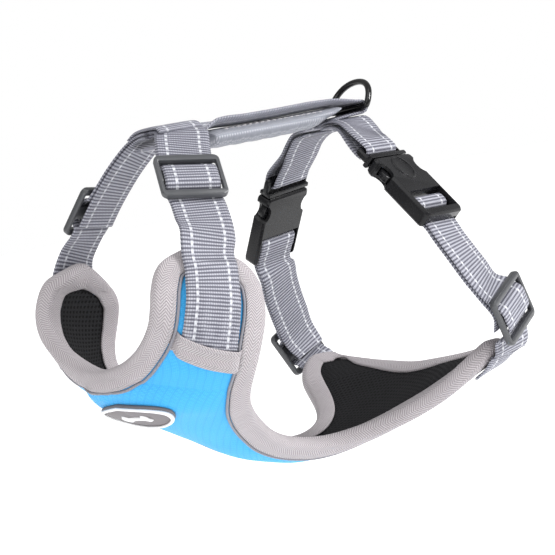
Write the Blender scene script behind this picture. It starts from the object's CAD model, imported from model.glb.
# The looks of a no-pull dog harness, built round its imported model.
# Shapes are worked out in millimetres and made in metres. +Z is up, the wearer faces -X, its left is at -Y.
import math
import bmesh
import bpy
import numpy as np
from mathutils import Matrix, Vector, noise
from mathutils.bvhtree import BVHTree


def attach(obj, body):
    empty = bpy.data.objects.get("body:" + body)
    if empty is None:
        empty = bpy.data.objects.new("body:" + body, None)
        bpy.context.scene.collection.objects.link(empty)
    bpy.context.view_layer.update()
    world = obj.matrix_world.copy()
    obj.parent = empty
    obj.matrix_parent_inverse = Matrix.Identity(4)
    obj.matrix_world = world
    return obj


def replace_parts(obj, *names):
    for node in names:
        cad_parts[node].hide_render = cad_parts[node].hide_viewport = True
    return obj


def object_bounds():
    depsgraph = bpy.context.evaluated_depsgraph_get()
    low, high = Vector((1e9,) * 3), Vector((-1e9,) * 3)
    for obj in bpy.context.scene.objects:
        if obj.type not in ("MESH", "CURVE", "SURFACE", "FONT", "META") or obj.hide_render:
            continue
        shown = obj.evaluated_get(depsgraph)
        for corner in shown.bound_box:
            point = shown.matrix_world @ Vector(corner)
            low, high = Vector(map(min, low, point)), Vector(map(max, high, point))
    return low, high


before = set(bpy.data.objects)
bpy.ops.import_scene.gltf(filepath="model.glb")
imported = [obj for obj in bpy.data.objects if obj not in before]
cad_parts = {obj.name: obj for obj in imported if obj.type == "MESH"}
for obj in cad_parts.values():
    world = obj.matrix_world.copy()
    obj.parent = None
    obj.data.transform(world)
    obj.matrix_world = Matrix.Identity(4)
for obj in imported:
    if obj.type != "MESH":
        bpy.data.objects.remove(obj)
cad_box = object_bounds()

MM = 0.001
BODY = "harness"

# ---------------------------------------------------------------- driving dimensions, the same as the part's
GAP = 0.4
WEB_WIDTH = 25.0
WEB_THICK = 1.4
LAYER = WEB_THICK + GAP
SHELL = (0.0, 1.2)
PADDING = (-2.0, -0.4)
LINING = (-3.6, -2.4)
LIP = 8.5
TAPE = 0.8
FACING = 1.15
ON_TAPE = SHELL[1] + FACING + TAPE + 2 * GAP + WEB_THICK / 2
PIPING = 1.2
STATIONS = (0, 12, 26, 30)
CHEST_BULGE = np.array([-5.0, 2.0, -5.0])
TAB_BULGE = 0.07
SLIDER_THICK = 3.0
SLIDER_TOP = 0.4
UNDER_SLIDER = SLIDER_THICK / 2 + GAP + WEB_THICK / 2 + 0.1
BESIDE_SLIDER = 13.0
BUCKLE_LIFT = LAYER + 1.9
MALE_END, MALE_BAR, MALE_SLOT, MALE_THICK = -25.0, 3.4, 4.0, 3.4
FEMALE_END = 25.0
CROSS_BAR = (12.3, 15.7)
LADDER_TOP = 0.8
RING_BAR = (64.0, 72.5)
RING_WIRE = 3.4
BACK_LEVEL = 76.0
PATCH_CENTRE = np.array([-91.0, 0.0, -41.8])
PATCH_DOWN = np.array([0.83, 0.0, -0.56])
PATCH_ALONG, PATCH_ACROSS, PATCH_THICK = 25.0, 11.5, 1.4
SIDES = ((-1, "left"), (1, "right"))

# ---------------------------------------------------------------- looks
RIB = 1.6  # pitch of the webbing's cross ribs
RIB_RISE = 0.09
SELVEDGE = 0.16  # how far the edge knobs stand out
PUFF = 1.1  # how far the padded fabric swells between its edges
ON_CLOTH = SHELL[1] + WEB_THICK / 2 + 1.3  # webbing that lies on the swollen cloth
BINDING_CROWN = (0.25, 0.55)  # how far a lip stands off at its sides, and how much more in its middle
BINDING_RIPPLES = ((0.12, 7.3), (0.1, 17.1))  # height and length
BINDING_EASE = 3  # passes that ease the binding's creases
POCKET_BAND = 10.5
BAND_SLOPE = 0.2
BAND_BOW = 1.2
BAND_BACK = 10.0  # from the guide's end to the band's middle
STITCH = 2.5
STITCH_GAP = 1.1
STITCH_RADIUS = 0.27
STITCH_INSET = 1.3  # from a binding's edge to its stitches
EDGE_ROUND = 0.22  # rounding of a hard part's edges
ARM_ROUND = 0.3
BEVEL_FROM = math.radians(38)
SHARP_FROM = math.radians(50)

# ---------------------------------------------------------------- curves
def catmull(points, t):
    """Points of a centripetal Catmull-Rom curve at the shares t of its parameter."""
    points = np.asarray(points, float)
    ends = (2 * points[0] - points[1], 2 * points[-1] - points[-2])
    padded = np.vstack([ends[0], points, ends[1]])
    at = np.clip(np.asarray(t, float), 0, 1) * (len(points) - 1)
    k = np.minimum(at.astype(int), len(points) - 2)
    w = (at - k)[:, None]
    p0, p1, p2, p3 = (padded[k + n] for n in range(4))
    d0, d1, d2 = (
        np.maximum(np.sum((b - a) ** 2, 1), 1e-12)[:, None] ** 0.25 for a, b in ((p0, p1), (p1, p2), (p2, p3))
    )
    m1 = ((p1 - p0) / d0 - (p2 - p0) / (d0 + d1) + (p2 - p1) / d1) * d1
    m2 = ((p2 - p1) / d1 - (p3 - p1) / (d1 + d2) + (p3 - p2) / d2) * d1
    return p1 + m1 * w + (3 * (p2 - p1) - 2 * m1 - m2) * w**2 + (2 * (p1 - p2) + m1 + m2) * w**3


def unit(v):
    return v / np.maximum(np.linalg.norm(v, axis=-1, keepdims=True), 1e-9)


def smooth(x, low, high):
    s = np.clip((x - low) / (high - low), 0, 1)
    return s * s * (3 - 2 * s)


# ---------------------------------------------------------------- the vest's surface
# Each row runs from the inner edge (neck, mid plane, rear) to the leg edge, on the right side.
VEST_ROWS = np.array([
    [[-78.5, 48.5, 24], [-74, 49, 23.4]], [[-89.5, 46, 21.4], [-65.3, 52.5, 15.8]],
    [[-97, 46.5, 18.5], [-60.5, 55.3, 11]], [[-102, 47.3, 11], [-57.5, 57, 4]],
    [[-104.3, 47, 3], [-58.5, 59.5, -4.5]], [[-105.2, 43.5, -5], [-61, 60.8, -12]],
    [[-105.2, 35, -12.3], [-63.8, 60, -19.5]], [[-105.2, 24.5, -18], [-65.5, 57, -27]],
    [[-105.3, 12, -21.8], [-65.6, 52.5, -33]], [[-105.5, 0, -23.5], [-65, 47.5, -38.8]],
    [[-105, 0, -29.5], [-63.5, 43, -43.5]], [[-100.5, 0, -36.5], [-61, 38.5, -47.8]],
    [[-90, 0, -43.8], [-57.3, 34, -52]], [[-76, 0, -52.8], [-52.5, 29.5, -57]],
    [[-60.5, 0, -63.2], [-45.5, 24.5, -63]], [[-45.5, 0, -73.5], [-36.5, 19.5, -69.3]],
    [[-29.5, 0, -80.3], [-25, 16, -74.8]], [[-12, 0, -85.2], [-11, 14.8, -78.8]],
    [[6, 0, -86.5], [3, 15.8, -81.2]], [[24, 0, -84.5], [18, 20.5, -81]],
    [[41, 0, -79], [31, 28.5, -78.4]], [[58, 0, -71.5], [41, 40, -73.6]],
    [[77, 0, -62.5], [48, 53, -66.6]], [[79.5, 28, -60.5], [51.5, 60, -61.2]],
    [[80.5, 50, -57.5], [57, 64.8, -55.8]], [[77.5, 62, -53.5], [64, 67.5, -51.5]],
])
NECK_MIDDLE = 9
REAR_MIDDLE = 22
LAST_ROW = len(VEST_ROWS) - 1
ROW_MARKS = (0, NECK_MIDDLE, REAR_MIDDLE, LAST_ROW)


def row_of(station):
    return float(np.interp(station, STATIONS, ROW_MARKS))


def inner_point(row):
    """The inner edge has corners at both middles, so it is three curves end to end."""
    for a, b in zip(ROW_MARKS, ROW_MARKS[1:]):
        if row <= b + 1e-9:
            return catmull(VEST_ROWS[a:b + 1, 0], [(row - a) / (b - a)])[0]


def vest_point(row, v):
    """Points of the right half's middle surface at the shares v across a row."""
    inner = inner_point(row)
    leg = catmull(VEST_ROWS[:, 1], [row / LAST_ROW])[0]
    span = leg - inner
    level = smooth(row, NECK_MIDDLE - 4, NECK_MIDDLE)
    bulge = np.array([0, TAB_BULGE * np.linalg.norm(span) * (1 - level), 0])
    chest = CHEST_BULGE * smooth(row, 3, 7.5) * (1 - smooth(row, 8.5, 15))
    flat = 1 - smooth(row, 10, 16)
    first = span / 3 * (1 - level) + np.array([0.05 - 0.09 * flat, 0.45, 0.05]) * span * level
    second = span * 2 / 3 * (1 - level) + np.array([0.55 - 0.13 * flat, 0.86, 0.45]) * span * level
    first = inner + first + bulge + chest * (1 - level)
    second = inner + second + bulge + chest
    v = np.asarray(v, float)[:, None]
    w = 1 - v
    return inner * w**3 + 3 * first * w**2 * v + 3 * second * w * v**2 + leg * v**3


class Surface:
    """Both halves of the vest as one triangulated surface, with smooth normals and flat coordinates."""

    def __init__(self, fine, across):
        rows = STATIONS[-1] * fine
        shares = np.linspace(0, 1, across + 1)
        grid = np.array([vest_point(row_of(i / fine), shares) for i in range(rows + 1)])
        self.measure(grid, fine)
        self.places, self.points, self.flat, self.from_edge, self.quads = {}, [], [], [], []
        for side, _ in SIDES:
            self.add_half(grid, side)
        self.points = np.array(self.points)
        self.triangles = [t for a, b, c, d in self.quads for t in ((a, b, c), (a, c, d))]
        self.normals = self.smooth_normals()
        self.tree = BVHTree.FromPolygons([Vector(p) for p in self.points], self.triangles)

    def measure(self, grid, fine):
        """Flat coordinates of the right half's grid, and each place's distance from the nearest edge."""
        along = np.cumsum(np.r_[0, np.linalg.norm(np.diff(grid[:, grid.shape[1] // 2], axis=0), axis=1)])
        over = np.cumsum(np.linalg.norm(np.diff(grid, axis=1), axis=2), axis=1)
        over = np.hstack([np.zeros((len(grid), 1)), over])
        row = np.arange(len(grid))
        joined = (row > STATIONS[1] * fine) & (row < STATIONS[2] * fine)
        inner = np.where(joined[:, None], np.inf, over)
        ends = np.minimum(along, along[-1] - along)[:, None]
        self.grid_along, self.grid_over = along, over
        self.grid_from_edge = np.minimum(np.minimum(inner, over[:, -1:] - over), ends)

    def add_half(self, grid, side):
        """One half's vertices and faces; the halves share the vertices of the mid plane."""
        rows, across = grid.shape[:2]
        ids = np.zeros((rows, across), int)
        for i in range(rows):
            for j in range(across):
                p = grid[i, j] * (1, side, 1)
                key = tuple(np.round(p, 3) + 0.0)
                if key not in self.places:
                    self.places[key] = len(self.points)
                    self.points.append(p)
                    self.flat.append((self.grid_along[i], side * self.grid_over[i, j]))
                    self.from_edge.append(self.grid_from_edge[i, j])
                ids[i, j] = self.places[key]
        for i in range(rows - 1):
            for j in range(across - 1):
                quad = (ids[i, j], ids[i, j + 1], ids[i + 1, j + 1], ids[i + 1, j])
                self.quads.append(quad if side > 0 else quad[::-1])

    def smooth_normals(self):
        triangles = np.array(self.triangles)
        corners = self.points[triangles]
        face = np.cross(corners[:, 1] - corners[:, 0], corners[:, 2] - corners[:, 0])
        normals = np.zeros_like(self.points)
        for k in range(3):
            np.add.at(normals, triangles[:, k], face)
        return unit(normals)

    def on(self, point):
        """The nearest place on the surface and its outward normal."""
        place, _, index, _ = self.tree.find_nearest(Vector(point))
        ids = list(self.triangles[index])
        a, b, c = self.points[ids]
        place = np.array(place)
        e1, e2, q = b - a, c - a, place - a
        d11, d12, d22, d1q, d2q = e1 @ e1, e1 @ e2, e2 @ e2, e1 @ q, e2 @ q
        bottom = max(d11 * d22 - d12 * d12, 1e-12)
        v, w = (d22 * d1q - d12 * d2q) / bottom, (d11 * d2q - d12 * d1q) / bottom
        return place, unit(self.normals[ids].T @ np.array([1 - v - w, v, w]))

    def over(self, point, height):
        place, normal = self.on(point)
        return place + normal * height


COARSE = Surface(1, 4)  # the part's own facets, which its guides lie on
FINE = Surface(5, 28)


# ---------------------------------------------------------------- mesh helpers
def make_piece(name, points, faces, material, flat=None, lap=0.0):
    """A piece from points in millimetres. On a loop, lap long, the pattern runs on over the last span."""
    mesh = bpy.data.meshes.new(name)
    points = [tuple(p) for p in np.asarray(points, float) * MM]
    mesh.from_pydata(points, [], [tuple(map(int, f)) for f in faces])
    mesh.validate()
    if flat is not None:
        layer = mesh.uv_layers.new(name="flat_mm")
        vertex = np.zeros(len(mesh.loops), int)
        mesh.loops.foreach_get("vertex_index", vertex)
        places = np.asarray(flat, np.float32)[vertex]
        if lap:
            along = places.reshape(-1, 4, 2)[:, :, 0]
            last = np.ptp(along, axis=1) > lap / 2
            along[last] += lap * (along[last] < lap / 2)
        layer.data.foreach_set("uv", places.ravel())
    mesh.polygons.foreach_set("use_smooth", [True] * len(mesh.polygons))
    mesh.materials.append(material)
    piece = bpy.data.objects.new(name, mesh)
    bpy.context.scene.collection.objects.link(piece)
    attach(piece, BODY)
    return piece


def loft(rings, closed=False):
    """Points and faces of a solid through rings of equal count."""
    rings = np.asarray(rings, float)
    count, n = rings.shape[:2]
    faces = []
    for i in range(count if closed else count - 1):
        after = (i + 1) % count
        for j in range(n):
            k = (j + 1) % n
            faces.append((i * n + j, i * n + k, after * n + k, after * n + j))
    if not closed:
        faces.append(tuple(range(n))[::-1])
        faces.append(tuple(range((count - 1) * n, count * n)))
    return rings.reshape(-1, 3), faces


def outward(points, faces):
    """The faces, turned so that the solid's volume is positive."""
    total = 0.0
    for f in faces:
        a = points[f[0]]
        for b, c in zip(f[1:], f[2:]):
            total += float(np.dot(a, np.cross(points[b], points[c])))
    return faces if total > 0 else [f[::-1] for f in faces]


def spaced(points, step):
    """Shares at even arc distances along a Catmull-Rom curve, with the distances."""
    t = np.linspace(0, 1, 40 * len(points))
    run = np.cumsum(np.r_[0, np.linalg.norm(np.diff(catmull(points, t), axis=0), axis=1)])
    distance = np.linspace(0, run[-1], max(3, int(round(run[-1] / step)) + 1))
    return np.interp(distance, run, t), distance


def frames_along(points, across, t):
    centre = catmull(points, t)
    tangent = unit(catmull(points, t + 1e-3) - catmull(points, t - 1e-3))
    side = unit(catmull(across, t))
    return centre, side, unit(np.cross(side, tangent))


# ---------------------------------------------------------------- straps
class Guide:
    """The middle line of a strap's inner layer: x across it, y along it, z away from the wearer."""

    def __init__(self, points, across):
        self.points, self.across = np.array(points, float), np.array(across, float)
        self.t = np.linspace(0, 1, 2001)
        self.line = catmull(self.points, self.t)
        self.run = np.cumsum(np.r_[0, np.linalg.norm(np.diff(self.line, axis=0), axis=1)])
        self.length = self.run[-1]

    def frame(self, s):
        t = np.interp(np.clip(s, 0, self.length), self.run, self.t)
        y = unit(catmull(self.points, [min(t + 1e-4, 1)])[0] - catmull(self.points, [max(t - 1e-4, 0)])[0])
        x = catmull(self.across, [t])[0]
        x = unit(x - (x @ y) * y)
        return catmull(self.points, [t])[0], x, y, np.cross(x, y)

    def place(self, s, y=0.0, h=0.0, hug=None):
        centre, x_axis, y_axis, z_axis = self.frame(s)
        return centre + y_axis * y + z_axis * h, x_axis, hug

    def run_along(self, s0, h0, s1, h1, hug=None, step=10, last_hug=None):
        n = max(1, round(abs(s1 - s0) / step))
        hugs = [hug if last_hug is None else hug + (last_hug - hug) * k / n for k in range(n + 1)]
        return [self.place(s0 + (s1 - s0) * k / n, 0, h0 + (h1 - h0) * k / n, hugs[k]) for k in range(n + 1)]

    def beside(self, s, pairs):
        return [self.place(s, y, h) for y, h in pairs]

    def level(self, z):
        s = np.linspace(0, self.length, 401)
        heights = np.interp(s, self.run, self.line[:, 2])
        return float(s[np.argmax(heights <= z)])


SECTION_HALF = 9  # columns from the middle of a webbing to its edge


def web_section(width=WEB_WIDTH, thick=WEB_THICK):
    """Across and height of a webbing's section, with round selvedges."""
    u = np.linspace(-1, 1, 2 * SECTION_HALF + 1)
    u = np.sign(u) * np.abs(u) ** 0.8
    h = thick / 2 * (1 - np.abs(u) ** 14) ** 0.5
    return np.r_[u, u[-2:0:-1]] * width / 2, np.r_[h, -h[-2:0:-1]]


def hug_at(hugs, at):
    """The height over the vest at a place between two places of the list, or None off the vest."""
    low, high = hugs[int(at)], hugs[min(int(at) + 1, len(hugs) - 1)]
    if low is None or high is None:
        return hugs[int(round(at))]
    return low + (high - low) * (at - int(at))


def hugging_ring(centre, side, hug, width, rise):
    """A webbing's section bent over the vest; the projection spreads, so its width is brought back."""
    ends = [FINE.over(centre + side * a, hug) for a in (-WEB_WIDTH / 2, 0, WEB_WIDTH / 2)]
    spread = np.linalg.norm(ends[0] - ends[1]) + np.linalg.norm(ends[1] - ends[2])
    return [FINE.over(centre + side * a, hug + b) for a, b in zip(width * WEB_WIDTH / spread, rise)]


def webbing(name, places, node, bends=None):
    """A ribbed webbing through places, bent over the vest where it lies on it; bends drop its two edges."""
    points, across, hugs = zip(*places)
    t, distance = spaced(points, RIB / 2)
    centre, side, normal = frames_along(points, across, t)
    u, h = web_section()
    bend = u**2 / (WEB_WIDTH / 2) ** 2
    rings = []
    for i, (c, x, z) in enumerate(zip(centre, side, normal)):
        at = t[i] * (len(places) - 1)
        hug = hug_at(hugs, at)
        wave = 1 if i % 2 else -1
        width = u * (1 + wave * SELVEDGE / WEB_WIDTH)
        rise = h * (1 + wave * 2 * RIB_RISE / WEB_THICK)
        if hug is not None:
            rings.append(hugging_ring(c, x, hug, width, rise))
        else:
            drop = np.interp(at, range(len(places)), bends) if bends else 0
            rings.append(c + np.outer(width, x) + np.outer(rise - drop * bend, z))
    flat = [(d, a) for d in distance for a in u]
    points, faces = loft(rings)
    piece = make_piece(name, points, outward(points, faces), WEBBING, flat)
    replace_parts(piece, node)


NECK_TOP = [
    [-46, 2.8, 76.3], [-46.4, 8, 76.1], [-49, 14, 73.3], [-56, 22, 65], [-64, 33.5, 51],
    [-69.3, 44.2, 37.5], [-73.5, 51.4, 28.8],
]
NECK_ON_VEST = [[-76, 50, 22], [-79, 52, 8], [-82, 52, -6], [-84, 49, -18], [-84.5, 44.5, -27]]
GIRTH_TOP = {
    "left": [
        [54, 3, 65], [53.8, 9, 65], [52, 17, 60.5], [48.7, 25, 54], [46.4, 33, 46], [48.6, 47.5, 28.3],
        [51.6, 61, 10], [54.5, 68.5, -4.5], [60.5, 73.5, -20.5], [69, 76, -35.5],
    ],
    "right": [
        [47, 3, 63.8], [47, 9, 63.3], [47.3, 17, 59], [48, 26, 51], [48.5, 35, 41.3], [48.3, 47.5, 25.3],
        [49.2, 58.7, 9], [53.5, 66.5, -7], [61, 73, -25], [68, 76, -41],
    ],
}
GIRTH_ON_VEST = [[73, 68, -55], [71, 61, -59], [69, 54, -62]]
ACROSS_NECK = (0.975, 0.22)
ACROSS_GIRTH = {"left": (0.95, -0.25), "right": (0.97, 0.15)}
SLIDER_LEVEL = {"neck": {"left": 52, "right": 45.5}, "girth": {"left": -34.5, "right": -41}}
BUCKLE_LEVEL = {"left": 30, "right": 25.5}


def side_guide(top, lower, across, side):
    """A strap's guide on one side, whose lower points lie on the vest."""
    seats = [COARSE.on(p) for p in lower]
    right = [np.array(p, float) for p in top] + [p + n * (ON_TAPE - LAYER) for p, n in seats]
    widths = []
    for i, p in enumerate(right):
        if i < 2:
            widths.append(np.array([1.0, 0, 0]))
        elif i < len(top):
            widths.append(np.array([across[0], across[1], 0.0]))
        else:
            widths.append(unit(np.cross(unit(p - right[i - 1]), seats[i - len(top)][1])))
    return Guide([p * (1, side, 1) for p in right], [x * (side, 1, side) for x in widths])


def through_slider(track, s):
    rise = UNDER_SLIDER + SLIDER_TOP + GAP + WEB_THICK / 2 + 0.3
    half = [(9.4, 0), (8, 0.06), (5.5, 0.79), (3.6, 0.99)]
    arch = [(-y, k) for y, k in half] + [(0, 1)] + half[::-1]
    return track.beside(s, [(y, LAYER + k * rise) for y, k in arch])


def upper_girth(track, b):
    off = MALE_THICK / 2 + GAP + WEB_THICK / 2
    middle = MALE_END + MALE_BAR + MALE_SLOT / 2 - 0.6
    bar = MALE_END + MALE_BAR
    turn = [
        (MALE_END - 2, off), (MALE_END + 1, off + 0.2), (bar, off),
        (middle - 0.4, off - 0.8), (middle, 0), (middle - 0.4, 0.8 - off),
        (bar, -off - 0.15), (MALE_END - 0.5, -off - 0.6),
    ]
    return (
        track.beside(0, [(-3.5, LAYER + 0.7)])
        + track.run_along(0, LAYER + 0.5, b + MALE_END - 16, LAYER + 1.5, step=6)
        + track.beside(b, [(y, BUCKLE_LIFT + z) for y, z in turn])
        + track.run_along(b + MALE_END - 12, 0, 0, 0, step=6)
    )


def lower_girth(track, b, s):
    c0, c1 = CROSS_BAR
    end = FEMALE_END + 1
    over = BUCKLE_LIFT + LADDER_TOP + GAP + WEB_THICK / 2
    turn = [
        (end, 0), (c1, 0), (c0 - 0.4, 0.4), (c0 - 1.3, 2), (c0 - 1.4, over - 1.4), (c0 - 0.2, over),
        (c1 + 0.2, over), (c1 + 1.5, over - 1.3), (c1 + 2.2, LAYER + 1), (c1 + 4, LAYER), (end, LAYER),
    ]
    return (
        track.run_along(s + 6, 0, b + end + 6, 0) + track.beside(b, turn)
        + track.run_along(b + end + 6, LAYER, s - BESIDE_SLIDER, LAYER) + through_slider(track, s)
        + track.run_along(s + 12, LAYER, track.length - 19, LAYER + 1)
        + track.run_along(track.length - 14, LAYER, track.length, LAYER, ON_TAPE, 7)
    )


def stitch_row(name, line, normals):
    """A row of separate thread stitches along a line, half sunk into what they hold."""
    line, normals = np.asarray(line, float), np.asarray(normals, float)
    run = np.cumsum(np.r_[0, np.linalg.norm(np.diff(line, axis=0), axis=1)])
    rings_of = ((0.0, 0.35), (0.2, 0.95), (0.5, 1.15), (0.8, 0.95), (1.0, 0.35))
    points, faces = [], []
    for start in np.arange(0, run[-1] - STITCH, STITCH + STITCH_GAP):
        rings = []
        for share, size in rings_of:
            s = start + share * STITCH
            p = np.array([np.interp(s, run, line[:, k]) for k in range(3)])
            n = unit(np.array([np.interp(s, run, normals[:, k]) for k in range(3)]))
            ahead = np.array([np.interp(s + 0.2, run, line[:, k]) for k in range(3)])
            y = unit(ahead - p)
            x = np.cross(y, n)
            a = np.arange(6) * math.pi / 3
            rings.append(p + STITCH_RADIUS * size * (np.outer(np.cos(a), x) + np.outer(np.sin(a), n)))
        p, f = loft(rings)
        faces += [tuple(i + len(points) for i in face) for face in outward(p, f)]
        points += list(p)
    return make_piece(name, points, faces, THREAD)


# ---------------------------------------------------------------- materials
class Shader:
    """A node material: constants go on the shader's own sockets, and patterns come from nodes."""

    def __init__(self, name, roughness, **sockets):
        self.material = bpy.data.materials.new(name)
        self.material.use_nodes = True
        self.tree = self.material.node_tree
        self.shader = self.tree.nodes["Principled BSDF"]
        self.shader.inputs["Roughness"].default_value = roughness
        for socket, value in sockets.items():
            self.shader.inputs[socket.replace("_", " ")].default_value = value

    def node(self, kind, inputs=(), **settings):
        node = self.tree.nodes.new(kind)
        for key, value in settings.items():
            setattr(node, key, value)
        for key, value in dict(inputs).items():
            if isinstance(value, bpy.types.NodeSocket):
                self.tree.links.new(value, node.inputs[key])
            else:
                node.inputs[key].default_value = value
        return node

    def maths(self, operation, *values, clamp=False):
        return self.node("ShaderNodeMath", enumerate(values), operation=operation, use_clamp=clamp).outputs[0]

    def flat(self):
        """Millimetres along and across the piece."""
        uv = self.node("ShaderNodeUVMap", uv_map="flat_mm").outputs[0]
        parts = self.node("ShaderNodeSeparateXYZ", {0: uv})
        return uv, parts.outputs[0], parts.outputs[1]

    def place(self):
        return self.node("ShaderNodeTexCoord").outputs["Object"]

    def noise(self, scale, detail=3.0):
        inputs = {"Vector": self.place(), "Scale": scale, "Detail": detail}
        return self.node("ShaderNodeTexNoise", inputs).outputs["Fac"]

    def wave(self, value, pitch):
        """A sine wave from 0 to 1 along a distance."""
        angle = self.maths("MULTIPLY", value, 2 * math.pi / pitch)
        return self.maths("MULTIPLY_ADD", self.maths("SINE", angle), 0.5, 0.5)

    def mix(self, share, first, second):
        node = self.node("ShaderNodeMix", data_type="RGBA")
        for key, value in ((0, share), (6, first), (7, second)):
            if isinstance(value, bpy.types.NodeSocket):
                self.tree.links.new(value, node.inputs[key])
            else:
                node.inputs[key].default_value = value if key == 0 else (*value, 1)
        return node.outputs[2]

    def bump(self, height, distance, strength):
        inputs = {"Height": height, "Distance": distance * MM, "Strength": strength}
        self.tree.links.new(self.node("ShaderNodeBump", inputs).outputs[0], self.shader.inputs["Normal"])

    def colour(self, value):
        self.tree.links.new(value, self.shader.inputs["Base Color"])

    def rough(self, value, low, high):
        span = self.maths("MULTIPLY_ADD", value, high - low, low)
        self.tree.links.new(span, self.shader.inputs["Roughness"])


def webbing_material(name, base, dark, line):
    """Ribbed weave with a pale reflective line a fifth in from each edge."""
    m = Shader(name, 0.6, Sheen_Weight=0.05, Sheen_Roughness=0.4, Specular_IOR_Level=0.3)
    _, along, across = m.flat()
    rib = m.wave(along, RIB)
    yarn = m.wave(across, 1.1)
    weave = m.maths("MULTIPLY", rib, m.maths("MULTIPLY_ADD", yarn, 0.4, 0.6))
    off = m.maths("ABSOLUTE", m.maths("SUBTRACT", m.maths("ABSOLUTE", across), WEB_WIDTH * 0.3))
    on_line = m.maths("LESS_THAN", off, 0.6)
    dash = m.maths("MULTIPLY_ADD", m.wave(along, 2 * RIB), 0.8, 0.1)
    tone = m.mix(weave, dark, base)
    tone = m.mix(m.maths("MULTIPLY", m.noise(160.0), 0.35), tone, dark)
    m.colour(m.mix(m.maths("MULTIPLY", on_line, dash), tone, line))
    m.rough(on_line, 0.62, 0.38)
    m.bump(m.maths("ADD", weave, m.maths("MULTIPLY", on_line, 0.5)), 0.3, 0.9)
    return m.material


def herringbone_material(name, base, dark):
    """Twill whose diagonals turn back every few millimetres."""
    m = Shader(name, 0.75, Sheen_Weight=0.05, Specular_IOR_Level=0.2)
    _, along, across = m.flat()
    zigzag = m.maths("PINGPONG", across, 2.6)
    twill = m.wave(m.maths("ADD", along, zigzag), 1.3)
    worn = m.noise(90.0)
    tone = m.mix(m.maths("MULTIPLY_ADD", twill, 0.85, 0.1), dark, base)
    m.colour(m.mix(m.maths("MULTIPLY", worn, 0.25), tone, dark))
    m.rough(worn, 0.68, 0.85)
    m.bump(twill, 0.22, 0.8)
    return m.material


def shell_material():
    """Bright blue plain weave with a faint diamond grid."""
    m = Shader("blue_weave", 0.55, Sheen_Weight=0.04, Specular_IOR_Level=0.3)
    _, along, across = m.flat()
    weave = m.maths("MULTIPLY", m.wave(along, 0.8), m.wave(across, 0.8))
    one = m.maths("POWER", m.wave(m.maths("ADD", along, across), 3.6), 8.0)
    two = m.maths("POWER", m.wave(m.maths("SUBTRACT", along, across), 3.6), 8.0)
    grid = m.maths("MAXIMUM", one, two)
    shade = m.noise(45.0)
    tone = m.mix(weave, (0.027, 0.32, 0.70), (0.06, 0.45, 0.84))
    tone = m.mix(m.maths("MULTIPLY", grid, 0.4), tone, (0.012, 0.22, 0.56))
    m.colour(m.mix(m.maths("MULTIPLY", shade, 0.25), tone, (0.09, 0.51, 0.88)))
    m.rough(shade, 0.48, 0.66)
    m.bump(m.maths("SUBTRACT", weave, m.maths("MULTIPLY", grid, 0.7)), 0.16, 0.7)
    return m.material


def lining_material():
    """Black spacer mesh with rows of small holes."""
    m = Shader("perforated_mesh", 0.8, Specular_IOR_Level=0.15)
    uv, along, across = m.flat()
    holes = m.node("ShaderNodeTexVoronoi", {"Vector": uv, "Scale": 0.42, "Randomness": 0.0},
                   voronoi_dimensions="2D").outputs["Distance"]
    solid = m.maths("MULTIPLY", m.maths("SUBTRACT", holes, 0.26), 12.0, clamp=True)
    knit = m.maths("MULTIPLY", m.wave(along, 0.6), m.wave(across, 0.6))
    tone = m.mix(knit, (0.009, 0.009, 0.010), (0.028, 0.028, 0.031))
    tone = m.mix(solid, (0.001, 0.001, 0.001), tone)
    m.colour(m.mix(m.maths("MULTIPLY", m.noise(60.0), 0.25), tone, (0.018, 0.018, 0.02)))
    m.bump(m.maths("MULTIPLY_ADD", solid, 1.0, m.maths("MULTIPLY", knit, 0.2)), 0.5, 0.9)
    return m.material


def cloth_material(name, base, dark, pitch=0.6, roughness=(0.6, 0.8), depth=0.1):
    """A plain woven cloth, from the object's own place, for sleeves, foam, piping and thread."""
    m = Shader(name, roughness[0], Sheen_Weight=0.04, Specular_IOR_Level=0.25)
    parts = m.node("ShaderNodeSeparateXYZ", {0: m.place()})
    x, y, z = (parts.outputs[k] for k in range(3))
    weave = m.maths("MULTIPLY", m.wave(x, pitch * MM), m.wave(m.maths("ADD", y, z), pitch * MM))
    shade = m.noise(120.0)
    tone = m.mix(m.maths("MULTIPLY_ADD", weave, 0.7, 0.15), dark, base)
    m.colour(m.mix(m.maths("MULTIPLY", shade, 0.25), tone, dark))
    m.rough(shade, *roughness)
    m.bump(weave, depth, 0.6)
    return m.material


def plastic_material(name, base, worn, roughness=(0.32, 0.5), grain=900.0, shine=0.35):
    """Moulded plastic: fine grain, slightly uneven gloss and paler rubbed edges."""
    m = Shader(name, roughness[0], Specular_IOR_Level=shine)
    fine = m.noise(grain, detail=2.0)
    broad = m.noise(70.0)
    edge = m.node("ShaderNodeNewGeometry").outputs["Pointiness"]
    rubbed = m.maths("MULTIPLY", m.maths("SUBTRACT", edge, 0.53), 9.0, clamp=True)
    tone = m.mix(m.maths("MULTIPLY", broad, 0.5), base, worn)
    m.colour(m.mix(m.maths("MULTIPLY", rubbed, 0.5), tone, worn))
    m.rough(m.maths("MULTIPLY_ADD", fine, 0.5, m.maths("MULTIPLY", broad, 0.5)), *roughness)
    m.bump(fine, 0.05, 0.12)
    return m.material


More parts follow.
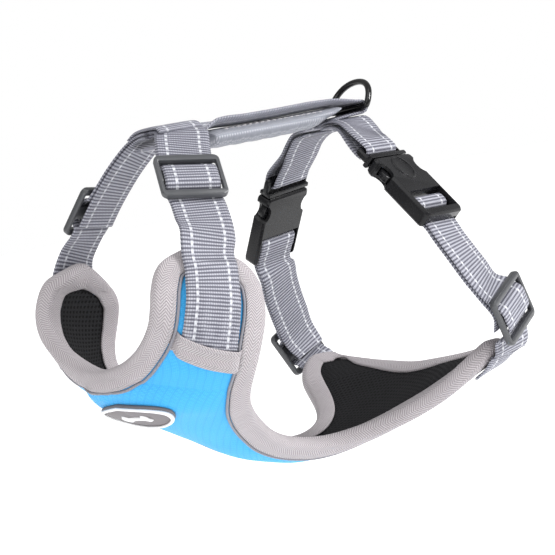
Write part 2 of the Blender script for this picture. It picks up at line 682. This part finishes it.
WEBBING = webbing_material("grey_webbing", (0.52, 0.525, 0.59), (0.075, 0.075, 0.10), (0.64, 0.65, 0.69))
TAPE_CLOTH = herringbone_material("herringbone_tape", (0.52, 0.485, 0.505), (0.24, 0.22, 0.23))
BLUE = shell_material()
MESH_CLOTH = lining_material()
FOAM = cloth_material("foam_sheet", (0.74, 0.74, 0.7), (0.55, 0.55, 0.5), 1.4, (0.85, 0.95), 0.2)
PIPING_CLOTH = cloth_material("piping_cover", (0.32, 0.31, 0.35), (0.17, 0.17, 0.19), 0.5, (0.35, 0.55))
SLEEVE_CLOTH = cloth_material("sleeve_cloth", (0.54, 0.55, 0.60), (0.17, 0.18, 0.21), 1.5, (0.55, 0.75), 0.22)
THREAD = cloth_material("pale_thread", (0.5, 0.48, 0.5), (0.3, 0.29, 0.3), 0.4, (0.5, 0.7))
SLIDER_PLASTIC = plastic_material(
    "slider_plastic", (0.02, 0.021, 0.024), (0.085, 0.088, 0.095), (0.26, 0.4), shine=0.5)
BUCKLE_PLASTIC = plastic_material(
    "buckle_plastic", (0.004, 0.004, 0.005), (0.02, 0.02, 0.022), (0.2, 0.34), shine=0.22)
RING_PAINT = plastic_material("black_paint", (0.002, 0.002, 0.002), (0.012, 0.012, 0.013), (0.1, 0.2), 300.0)
RUBBER = plastic_material("grey_rubber", (0.14, 0.125, 0.13), (0.2, 0.19, 0.2), (0.5, 0.7))
PRINT = plastic_material("pale_rubber", (0.74, 0.74, 0.75), (0.86, 0.86, 0.87), (0.45, 0.65))


# ---------------------------------------------------------------- the vest's layers
def vest_layer(name, heights, material, node, puff=0.0):
    """A cloth layer of the vest between two heights; puff swells its face away from the edges."""
    low, high = heights
    share = smooth(np.array(FINE.from_edge), 2.0, 15.0)
    uneven = np.array([noise.noise(Vector(p * 0.055)) for p in FINE.points])
    swell = puff * share * (1 + 0.35 * uneven)
    top = FINE.points + FINE.normals * (high + np.maximum(swell, 0))[:, None]
    bottom = FINE.points + FINE.normals * (low + np.minimum(swell, 0))[:, None]
    count = len(FINE.points)
    faces = [tuple(q) for q in FINE.quads] + [tuple(i + count for i in q[::-1]) for q in FINE.quads]
    edges = {}
    for q in FINE.quads:
        for a, b in zip(q, q[1:] + q[:1]):
            edges[(a, b)] = True
    faces += [(b, a, a + count, b + count) for a, b in edges if (b, a) not in edges]
    points = np.vstack([top, bottom])
    piece = make_piece(name, points, outward(points, faces), material, FINE.flat * 2)
    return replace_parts(piece, node)


def edge_loop(fine=5):
    """Neck edge, right leg edge, rear edge and left leg edge as one loop on the right half, mirrored."""
    last = STATIONS[-1]
    steps = np.arange(0, last * fine + 1) / fine
    tips = np.linspace(0, 1, 12)[1:-1]
    neck = [(i, 0.0) for i in steps[steps <= STATIONS[1]][::-1]]
    leg = [(i, 1.0) for i in steps]
    rear = [(i, 0.0) for i in steps[steps >= STATIONS[2]][::-1]]
    half = neck + [(0, v) for v in tips] + leg + [(last, v) for v in tips[::-1]] + rear
    points = [vest_point(row_of(i), [v])[0] for i, v in half]
    return np.array(points + [p * (1, -1, 1) for p in points[-2:0:-1]])


def edge_frames(points):
    tangent = unit(np.roll(points, -1, 0) - np.roll(points, 1, 0))
    for _ in range(3):
        tangent = unit(tangent + np.roll(tangent, 1, 0) + np.roll(tangent, -1, 0))
    normal = np.array([FINE.on(p)[1] for p in points])
    for _ in range(6):
        normal = unit(normal + 0.5 * (np.roll(normal, 1, 0) + np.roll(normal, -1, 0)))
    return normal, unit(np.cross(normal, tangent))


def binding(points, normal, inward):
    """Tape folded round the vest's edge: a crowned lip on each face and a round fold between them."""
    lips = 9
    d = np.linspace(LIP, 0.6, lips)
    crown = BINDING_CROWN[1] * np.sin(np.linspace(0.25, math.pi - 0.35, lips)) + BINDING_CROWN[0]
    high, low = SHELL[1] + FACING * 0.45, LINING[0] - FACING * 0.45
    middle, reach = (high + low) / 2, (high - low) / 2
    run = np.cumsum(np.r_[0, np.linalg.norm(np.diff(points, axis=0), axis=1)])
    turn = np.linspace(math.pi / 2, -math.pi / 2, 9)[1:-1]
    rings, flat = [], []
    for i, p in enumerate(points):
        pucker = sum(height * math.sin(2 * math.pi * run[i] / length) for height, length in BINDING_RIPPLES)
        ring = []
        for lift in (TAPE, 0.0):
            section = [FINE.over(p + inward[i] * a, high + lift + c + pucker) for a, c in zip(d, crown)]
            for a in turn:
                out = inward[i] * (0.6 - (1.9 + lift) * math.cos(a))
                section.append(p + out + normal[i] * (middle + (reach + lift + 0.4) * math.sin(a)))
            section += [FINE.over(p + inward[i] * a, low - lift - c - pucker)
                        for a, c in zip(d[::-1], crown[::-1])]
            ring += section if lift else section[::-1]
        rings.append(ring)
        n = len(ring) // 2
        across = np.linspace(-1, 1, n) * (LIP + 4)
        flat += [(run[i], a) for a in np.r_[across, across[::-1]]]
    rings = np.array(rings)
    for _ in range(BINDING_EASE):
        rings = (np.roll(rings, 1, 0) + 2 * rings + np.roll(rings, -1, 0)) / 4
    verts, faces = loft(rings, closed=True)
    lap = run[-1] + np.linalg.norm(points[0] - points[-1])
    faces = outward(verts, faces)
    piece = make_piece("edge_binding_tape", verts, faces, TAPE_CLOTH, flat, lap=lap)
    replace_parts(piece, "edge_binding")
    for name, lift in (("outer", high + TAPE + 0.38), ("inner", low - TAPE - 0.38)):
        line = np.array([FINE.over(p + inward[i] * (LIP - STITCH_INSET), lift) for i, p in enumerate(points)])
        stitch_row(f"edge_binding_{name}_stitches", line, normal)


def piping(points, normal, inward):
    r = PIPING / 2
    rings = []
    for i, p in enumerate(points):
        centre, n = FINE.on(p + inward[i] * (LIP + GAP + r))
        side = unit(inward[i] - (inward[i] @ n) * n)
        centre = centre + n * (SHELL[1] + 0.75 + r)
        a = np.arange(10) * math.pi / 5
        rings.append(centre + (r + 0.1) * (np.outer(np.cos(a), side) + np.outer(np.sin(a), n)))
    verts, faces = loft(rings, closed=True)
    piece = make_piece("edge_piping_cord", verts, outward(verts, faces), PIPING_CLOTH)
    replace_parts(piece, "edge_piping")


# ---------------------------------------------------------------- the two sides' straps
def tape_strip(name, places, across, width, thick, material, node):
    """A smooth tape through places with rounded edges."""
    t, distance = spaced(places, 0.8)
    centre, side, normal = frames_along(places, across, t)
    u, h = web_section(width, thick)
    rings = [c + np.outer(u, x) + np.outer(h, z) for c, x, z in zip(centre, side, normal)]
    points, faces = loft(rings)
    flat = [(d, a) for d in distance for a in u]
    piece = make_piece(name, points, outward(points, faces), material, flat)
    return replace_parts(piece, node), centre, side, normal


def pocket_band(track, label):
    """The tape across the tab, over the webbing's end and tucked under the binding at both sides."""
    centre, x_axis, y_axis, _ = track.frame(track.length - BAND_BACK)
    over = ON_CLOTH + WEB_THICK / 2 + TAPE / 2 + 0.2
    ends = [(17.5, 1.6), (14.8, 2.0), (12.8, over - 0.3), (6, over)]
    route = [(-u, h) for u, h in ends] + [(0, over)] + ends[::-1]
    rearward = np.sign(x_axis[0])
    places = [
        FINE.over(centre + x_axis * u + y_axis * (BAND_SLOPE * u * rearward - BAND_BOW * (u / 13) ** 2), h)
        for u, h in route
    ]
    across = [y_axis] * len(places)
    _, line, side, normal = tape_strip(
        f"{label}_pocket_tape", places, across, POCKET_BAND, TAPE, TAPE_CLOTH,
        f"{label}_pocket_band")
    facing = np.sign(np.sum(normal * COARSE.on(centre)[1], 1))[:, None] * normal
    for k, edge in ((0, -1), (1, 1)):
        row = line + side * edge * (POCKET_BAND / 2 - 1.4) + facing * TAPE / 2
        stitch_row(f"{label}_pocket_stitches_{k}", row, facing)


def cross_stitches(name, track, s, height):
    """A row of stitches straight across a webbing's face."""
    centre, x_axis, _, z_axis = track.frame(s)
    u = np.linspace(-WEB_WIDTH / 2 + 1.5, WEB_WIDTH / 2 - 1.5, 20)
    line = centre + np.outer(u, x_axis) + z_axis * height
    stitch_row(name, line, np.tile(z_axis, (len(u), 1)))


def neck(side, label):
    track = side_guide(NECK_TOP, NECK_ON_VEST, ACROSS_NECK, side)
    s = track.level(SLIDER_LEVEL["neck"][label])
    on_tab = track.level(20)
    end = track.length
    outer = (
        track.run_along(0, LAYER, s - BESIDE_SLIDER, LAYER) + through_slider(track, s)
        + track.run_along(s + BESIDE_SLIDER, LAYER, on_tab, LAYER)
        + track.run_along(on_tab + 7, LAYER, end - 35, LAYER, ON_TAPE)
        + track.run_along(end - 28, LAYER, end - BAND_BACK + 2, LAYER, ON_TAPE - 0.6, 9, ON_CLOTH)
    )
    webbing(f"{label}_neck_strap", outer, f"{label}_neck_webbing")
    webbing(f"{label}_neck_strap_return", track.run_along(0, 0, s + 6, 0), f"{label}_neck_webbing_return")
    cross_stitches(f"{label}_neck_seam", track, on_tab - 4, LAYER + WEB_THICK / 2)
    pocket_band(track, label)


def girth(side, label):
    track = side_guide(GIRTH_TOP[label], GIRTH_ON_VEST, ACROSS_GIRTH[label], side)
    b = track.level(BUCKLE_LEVEL[label])
    s = track.level(SLIDER_LEVEL["girth"][label])
    webbing(f"{label}_girth_upper_strap", upper_girth(track, b), f"{label}_girth_upper_webbing")
    webbing(f"{label}_girth_strap", lower_girth(track, b, s), f"{label}_girth_webbing")
    for k, back in enumerate((15, 17)):
        cross_stitches(f"{label}_girth_seam_{k}", track, b - 25 - back, LAYER + WEB_THICK / 2)


# ---------------------------------------------------------------- back strap
SLEEVE_SPAN = (-29.0, 50.0)
SLEEVE_HALF = 13.0
SLEEVE_DEPTH = 5.2
SLEEVE_TAPER = (34, 48)  # where the sleeve thins towards the ring
EDGE_DROP = 3.4  # how far the strap's edges bend down round the sleeve


def back_route():
    """The strap's middle line, from the neck joint round the ring's bar, as (x, z, drop of its edges)."""
    bx, bz = RING_BAR
    r = RING_WIRE / 2 + GAP + WEB_THICK / 2
    diagonal = r * math.sqrt(0.5)
    return [
        (-57, 71, 0), (-46, 71.1, 0), (-36, 72.2, 0.8), (-25, BACK_LEVEL - 0.4, EDGE_DROP),
        (-8, BACK_LEVEL - 0.5, EDGE_DROP), (12, BACK_LEVEL - 0.5, EDGE_DROP),
        (30, BACK_LEVEL - 0.2, EDGE_DROP), (46, BACK_LEVEL, 0.75 * EDGE_DROP),
        (56, BACK_LEVEL, 0.2 * EDGE_DROP),
        (bx - 3, bz + r + 0.3, 0), (bx, bz + r, 0), (bx + diagonal, bz + diagonal, 0), (bx + r, bz, 0),
        (bx + diagonal, bz - diagonal, 0), (bx, bz - r, 0), (bx - 3, bz - r - 0.1, 0), (44, 68.4, 0),
    ]


def back_strap():
    route = back_route()
    places = [(np.array([x, 0, z], float), np.array([0, 1.0, 0]), None) for x, z, _ in route]
    webbing("back_strap", places, "back_strap_webbing", bends=[drop for _, _, drop in route])
    top = BACK_LEVEL + WEB_THICK / 2
    for k, y in enumerate((-11.3, 11.3)):
        line = [(x, y, top - 0.35 - EDGE_DROP * (y / 12.5) ** 2) for x in np.linspace(-22, 40, 60)]
        stitch_row(f"back_strap_stitches_{k}", line, [(0, y / 20, 1)] * 60)
    for k, x in enumerate((55, 52.5)):
        line = [(x, y, top - 0.2 * EDGE_DROP * (y / 12.5) ** 2) for y in np.linspace(-11, 11, 20)]
        stitch_row(f"ring_seam_{k}", line, [(0, 0, 1)] * 20)


def sleeve():
    """A padded tube under the strap, whose edges it carries; closed at both ends."""
    x0, x1 = SLEEVE_SPAN
    over, level, drops = zip(*back_route()[2:9])
    turns, steps = 44, 80
    rings, flat = [], []
    for i in range(steps + 1):
        x = x0 + (x1 - x0) * i / steps
        end = min(i, steps - i) / 4
        close = math.sqrt(max(0.05, 1 - max(0.0, 1 - end) ** 2))
        pucker = 1 + 0.03 * math.sin(i * 1.7) + 0.03 * math.sin(i * 0.6)
        top = np.interp(x, over, level) - WEB_THICK / 2 - 0.15
        drop = np.interp(x, over, drops)
        depth = SLEEVE_DEPTH * close * pucker * (1 - 0.6 * smooth(x, *SLEEVE_TAPER))
        ring = []
        for j in range(turns):
            a = 2 * math.pi * j / turns
            y = SLEEVE_HALF * (0.94 + 0.06 * close) * math.copysign(abs(math.cos(a)) ** 0.75, math.cos(a))
            rise = -drop * (y / SLEEVE_HALF) ** 2
            if math.sin(a) < 0:
                rise = -drop - depth * abs(math.sin(a)) ** 0.8
            ring.append((x, y, top + rise))
            flat.append((x, a * SLEEVE_HALF / 2))
        rings.append(ring)
    points, faces = loft(rings)
    piece = make_piece("back_strap_sleeve", points, outward(points, faces), SLEEVE_CLOTH, flat)
    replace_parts(piece, "back_strap_padding")


def neck_joint():
    half = [(-47.6, 13.2, 76.9), (-46.8, 9.5, 79.0), (-46.6, 5, 79.75)]
    places = [(x, -y, z) for x, y, z in half] + [(-46.6, 0, 79.9)] + half[::-1]
    across = [(1, 0, 0)] * len(places)
    tape_strip(
        "neck_joint_cover", places, across, WEB_WIDTH, WEB_THICK, WEBBING, "neck_joint_patch")


# ---------------------------------------------------------------- chest patch
def on_patch(u, w, h):
    p = PATCH_CENTRE + PATCH_DOWN * w
    return FINE.over((p[0], u, p[2]), SHELL[1] + GAP + h + PUFF)


def patch_outline(scale, turns=72):
    a = 2 * math.pi * np.arange(turns) / turns
    reach = np.sin(a) * (0.72 + 0.28 * np.abs(np.sin(a)))
    return np.column_stack([scale * PATCH_ALONG * np.cos(a), scale * PATCH_ACROSS * reach])


def patch_dome():
    """Rounded at its edge and slightly crowned."""
    profile = [(0.98, -0.4), (1.0, 0.5), (0.99, 1.0)] + [(k, PATCH_THICK) for k in (0.96, 0.8, 0.5, 0.02)]
    rings = [[on_patch(u, w, h) for u, w in patch_outline(k)] for k, h in profile]
    points, faces = loft(rings)
    piece = make_piece("chest_patch_base", points, outward(points, faces), RUBBER)
    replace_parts(piece, "chest_patch")


def patch_rim():
    section = [(0.88, 0.0), (0.885, 0.7), (0.91, 0.95), (0.95, 0.95), (0.975, 0.7), (0.98, 0.0)]
    level = PATCH_THICK + 0.1
    outlines = [patch_outline(k) for k, _ in section]
    rings = [
        [on_patch(*outlines[n][i], level + h) for n, (_, h) in enumerate(section)]
        for i in range(len(outlines[0]))
    ]
    points, faces = loft(rings, closed=True)
    piece = make_piece("chest_patch_border", points, outward(points, faces), PRINT)
    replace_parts(piece, "chest_patch_rim")


def patch_bone():
    """A plain bone: a bar with a double knob at each end."""
    u = np.linspace(-9.6, 9.6, 65)
    knob = np.sqrt(np.maximum(0, 1 - ((np.abs(u) - 7.4) / 2.3) ** 2))
    half = np.maximum(np.where(np.abs(u) < 8, 1.35, 0.05), 3.5 * knob)
    across = np.linspace(-1, 1, 11)
    level = PATCH_THICK + 0.1
    rings = []
    for a, b in zip(u, half):
        top = [on_patch(a, b * c, level + 0.75 * (1 - c**6) ** 0.5) for c in across]
        rings.append(top + [on_patch(a, b * c, level - 0.1) for c in across[::-1]])
    points, faces = loft(rings)
    piece = make_piece("chest_patch_emblem", points, outward(points, faces), PRINT)
    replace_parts(piece, "chest_patch_bone")


# ---------------------------------------------------------------- hard parts carried over from the frame
def refined(node, name, body, material, edge=None):
    """A finer piece in a hard node's place: its edges rounded, or subdivided if it is round all over."""
    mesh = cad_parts[node].data.copy()
    mesh.materials.clear()
    mesh.materials.append(material)
    shape = bmesh.new()
    shape.from_mesh(mesh)
    bmesh.ops.remove_doubles(shape, verts=shape.verts, dist=1e-6)
    if edge:
        bmesh.ops.dissolve_limit(shape, angle_limit=math.radians(2), verts=shape.verts, edges=shape.edges)
    shape.to_mesh(mesh)
    shape.free()
    mesh.polygons.foreach_set("use_smooth", [True] * len(mesh.polygons))
    piece = bpy.data.objects.new(name, mesh)
    bpy.context.scene.collection.objects.link(piece)
    if edge:
        bevel = piece.modifiers.new("round_edges", "BEVEL")
        bevel.width, bevel.segments = edge * MM, 2
        bevel.limit_method, bevel.angle_limit = "ANGLE", BEVEL_FROM
        bevel.use_clamp_overlap = True
        mesh.set_sharp_from_angle(angle=SHARP_FROM)
    else:
        fine = piece.modifiers.new("smooth", "SUBSURF")
        fine.levels = fine.render_levels = 2
    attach(piece, body)
    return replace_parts(piece, node)


def hard_parts():
    refined("lead_ring", "lead_ring_wire", "lead_ring", RING_PAINT)
    for _, label in SIDES:
        for strap in ("neck", "girth"):
            node = f"{label}_{strap}_slider"
            refined(node, f"{node}_frame", node, SLIDER_PLASTIC, EDGE_ROUND)
        for part in ("buckle_male", "buckle_housing"):
            node = f"{label}_{part}"
            refined(node, f"{node}_moulding", BODY, BUCKLE_PLASTIC, EDGE_ROUND)
        for end in ("front", "rear"):
            node = f"{label}_{end}_release_arm"
            refined(node, f"{node}_moulding", node, BUCKLE_PLASTIC, ARM_ROUND)


# ---------------------------------------------------------------- camera, floor and light
CAMERA_TURN = math.radians(-38)
CAMERA_RISE = math.radians(3)
CAMERA_ROLL = math.radians(11.5)
CAMERA_DISTANCE = 0.9
SENSOR, LENS = 36, 122.6


def add_camera():
    a, e, roll = CAMERA_TURN, CAMERA_RISE, CAMERA_ROLL
    back = Vector((math.sin(a) * math.cos(e), -math.cos(a) * math.cos(e), math.sin(e)))
    level = Vector((math.cos(a), math.sin(a), 0))
    up = back.cross(level)
    right = math.cos(roll) * level - math.sin(roll) * up
    top = math.sin(roll) * level + math.cos(roll) * up
    data = bpy.data.cameras.new("camera")
    data.sensor_width, data.lens = SENSOR, LENS
    camera = bpy.data.objects.new("camera", data)
    bpy.context.scene.collection.objects.link(camera)
    turn = Matrix((right, top, back)).transposed().to_4x4()
    camera.matrix_world = Matrix.Translation(back * CAMERA_DISTANCE) @ turn
    bpy.context.scene.camera = camera


FLOOR_DROP = 0.09  # the harness hangs over the floor, so its shadow stays soft


def add_floor():
    low, _ = cad_box
    bpy.ops.mesh.primitive_plane_add(size=30, location=(0, 0, low[2] - FLOOR_DROP))
    floor = bpy.context.object
    floor.name = "floor"
    m = Shader("pale_floor", 0.9, Base_Color=(0.93, 0.93, 0.93, 1), Emission_Color=(1, 1, 1, 1),
               Emission_Strength=0.55)
    floor.data.materials.append(m.material)


def add_light(name, place, power, size):
    data = bpy.data.lights.new(name, "AREA")
    data.energy, data.size = power, size
    light = bpy.data.objects.new(name, data)
    light.location = place
    light.rotation_euler = (-Vector(place)).to_track_quat("-Z", "Y").to_euler()
    bpy.context.scene.collection.objects.link(light)


AMBIENT = 0.48
SKY_POWER, SKY_SPREAD = 0.9, 0.8
SKY_TURN = (math.radians(18), math.radians(-14), 0)
LIGHTS = (  # place, watts and size
    ("key", (0.75, -1.05, 0.9), 25, 0.5),
    ("front", (-1.2, -0.5, 0.5), 5, 0.6),
)


def add_world():
    """Even white light all round, shown at full strength only behind the harness."""
    world = bpy.data.worlds.new("studio")
    bpy.context.scene.world = world
    world.use_nodes = True
    tree = world.node_tree
    ray = tree.nodes.new("ShaderNodeLightPath").outputs["Is Camera Ray"]
    strength = tree.nodes.new("ShaderNodeMapRange")
    strength.inputs["To Min"].default_value, strength.inputs["To Max"].default_value = AMBIENT, 1.0
    tree.links.new(ray, strength.inputs["Value"])
    tree.nodes["Background"].inputs[0].default_value = (1, 1, 1, 1)
    tree.links.new(strength.outputs["Result"], tree.nodes["Background"].inputs["Strength"])


def add_lights():
    add_world()
    sun = bpy.data.lights.new("sky_panel", "SUN")
    sun.energy, sun.angle = SKY_POWER, SKY_SPREAD
    above = bpy.data.objects.new("sky_panel", sun)
    above.rotation_euler = SKY_TURN
    bpy.context.scene.collection.objects.link(above)
    for name, place, power, size in LIGHTS:
        add_light(name, place, power, size)
    bpy.context.scene.view_settings.view_transform = "Standard"


add_camera()
add_floor()
add_lights()
vest_layer("vest_shell_cloth", SHELL, BLUE, "vest_outer_shell", PUFF)
vest_layer("vest_foam", PADDING, FOAM, "vest_padding")
vest_layer("vest_lining_cloth", LINING, MESH_CLOTH, "vest_lining", -PUFF)
edge = edge_loop()
edge_normal, edge_inward = edge_frames(edge)
binding(edge, edge_normal, edge_inward)
piping(edge, edge_normal, edge_inward)
for side, label in SIDES:
    neck(side, label)
    girth(side, label)
back_strap()
sleeve()
neck_joint()
patch_dome()
patch_rim()
patch_bone()
hard_parts()
